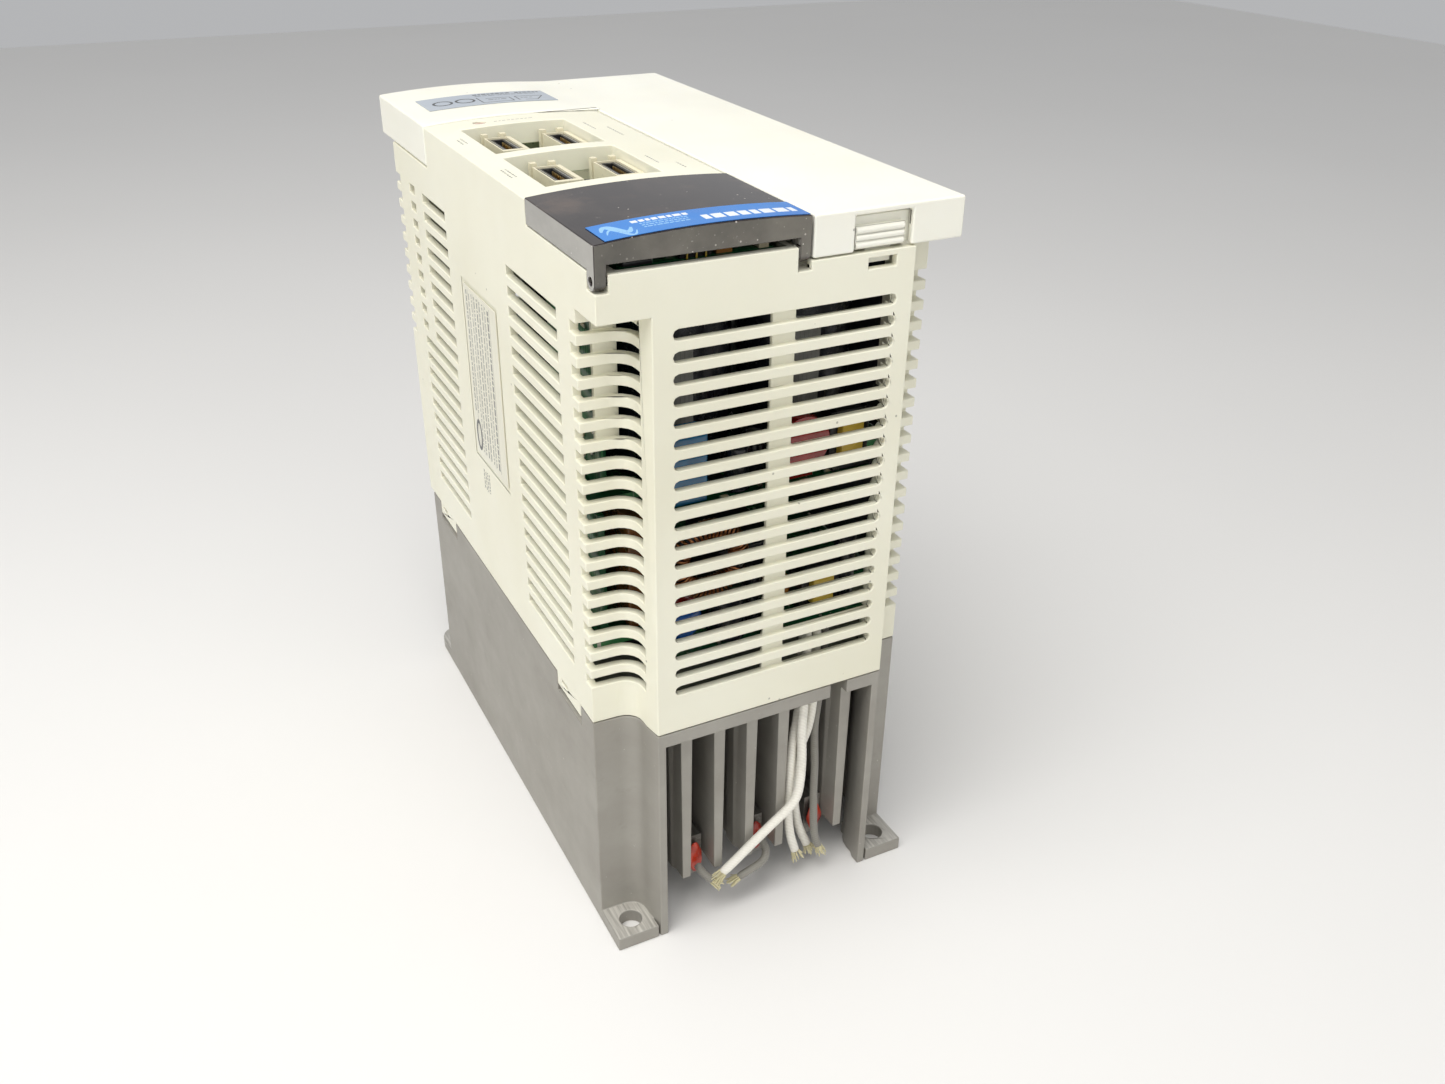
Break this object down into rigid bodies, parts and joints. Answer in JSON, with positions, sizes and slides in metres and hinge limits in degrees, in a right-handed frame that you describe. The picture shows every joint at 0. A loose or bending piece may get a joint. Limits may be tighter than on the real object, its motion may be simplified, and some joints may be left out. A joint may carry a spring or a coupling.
{
  "type": "servo drive",
  "caption": "Compact servo drive for panel mounting: slotted case on a finned heatsink with a fan, hinged front cover, tinted display window and bus sockets.",
  "frame": {"origin": "middle of the rectangle that the mounting feet and the front cover span, on the mounting plane", "axes": "+Z from the mounting panel to the front face, +X across the width, +Y from the display end to the cable end"},
  "size_m": [0.09, 0.168, 0.195],
  "materials": {
    "case_plastic": "fine moulded texture, ivory",
    "cover_plastic": "fine moulded texture, near white",
    "smoke_plastic": "polished, dark smoke tint",
    "cast_aluminium": "die-cast, satin, bright where machined",
    "board_green": "solder mask, slightly glossy",
    "black_plastic": "satin",
    "cream_plastic": "satin",
    "blue_label": "printed film",
    "grey_label": "printed film",
    "plate_label": "printed film",
    "capacitor_sleeve": "shrink sleeve",
    "film_blue": "dipped",
    "varistor_red": "dipped",
    "brown_resin": "wound film, varnished",
    "plated_steel": "zinc plated",
    "resistor_case": "plain extruded",
    "red_sealant": "cured silicone",
    "white_sleeve": "silicone sleeve",
    "glass_fibre_sleeve": "woven glass fibre",
    "lamp_red": "clear tinted"
  },
  "bodies": {
    "chassis": {"axis_switch_body": "black_plastic", "brake_resistor_1": "resistor_case", "brake_resistor_2": "resistor_case", "brake_resistor_3": "resistor_case", "charge_lamp": "lamp_red", "connector_housing_1": "cream_plastic", "connector_housing_2": "cream_plastic", "connector_housing_3": "cream_plastic", "connector_housing_4": "cream_plastic", "contact_insert_1": "black_plastic", "contact_insert_2": "black_plastic", "contact_insert_3": "black_plastic", "contact_insert_4": "black_plastic", "control_board": "board_green", "control_terminal_block": "board_green", "display_module": "black_plastic", "driver_board": "board_green", "earth_bar": "plated_steel", "earth_screw_1": "plated_steel", "earth_screw_2": "plated_steel", "fan_frame": "black_plastic", "fan_guard": "plated_steel", "film_capacitor": "film_blue", "grey_sleeve_left": "glass_fibre_sleeve", "grey_sleeve_middle": "glass_fibre_sleeve", "grey_sleeve_right": "glass_fibre_sleeve", "heatsink": "cast_aluminium", "inrush_relay": "black_plastic", "main_capacitor_1": "capacitor_sleeve", "main_capacitor_2": "capacitor_sleeve", "main_capacitor_3": "capacitor_sleeve", "main_case": "case_plastic", "main_terminal_block": "black_plastic", "noise_filter": "brown_resin", "power_board": "board_green", "power_module": "black_plastic", "rating_plate": "plate_label", "rectifier_module": "black_plastic", "resistor_seal_1": "red_sealant", "resistor_seal_2": "red_sealant", "resistor_seal_3": "red_sealant", "surge_absorber": "varistor_red", "terminal_screw_1": "plated_steel", "terminal_screw_2": "plated_steel", "terminal_screw_3": "plated_steel", "terminal_screw_4": "plated_steel", "terminal_screw_5": "plated_steel", "terminal_screw_6": "plated_steel", "test_switch_body": "black_plastic", "white_lead_long": "white_sleeve", "white_lead_middle": "white_sleeve", "white_lead_right": "white_sleeve"},
    "cover": {"front_cover": "cover_plastic", "front_label": "grey_label"},
    "release_knob": {"cover_release_knob": "cover_plastic"},
    "display_window": {"smoke_window": "smoke_plastic", "window_label": "blue_label"},
    "cooling_fan_rotor": {"fan_rotor": "black_plastic"},
    "axis_dial": {"axis_switch_dial": "cream_plastic"},
    "test_slider": {"test_switch_slider": "cream_plastic"}
  },
  "joints": [
    {"name": "display_window_hinge", "type": "hinge", "parent": "chassis", "child": "display_window", "pos_m": [-0.02, -0.0819, 0.1857], "axis": [1, 0, 0], "range_deg": [0, 95]},
    {"name": "front_cover_hinge", "type": "hinge", "parent": "chassis", "child": "cover", "pos_m": [0, 0.075, 0.1868], "axis": [-1, 0, 0], "range_deg": [0, 45]},
    {"name": "release_knob_press", "type": "slide", "parent": "cover", "child": "release_knob", "axis": [0, 1, 0], "range_m": [0, 0.0015], "stiffness_N_per_m": 400},
    {"name": "fan_spin", "type": "hinge", "parent": "chassis", "child": "cooling_fan_rotor", "pos_m": [0, 0.0545, 0.0334], "axis": [0, 1, 0], "continuous": true},
    {"name": "axis_dial_turn", "type": "hinge", "parent": "chassis", "child": "axis_dial", "pos_m": [-0.003, -0.066, 0.1857], "axis": [0, 0, 1], "continuous": true},
    {"name": "test_switch_slide", "type": "slide", "parent": "chassis", "child": "test_slider", "axis": [1, 0, 0], "range_m": [0, 0.003]}
  ]
}
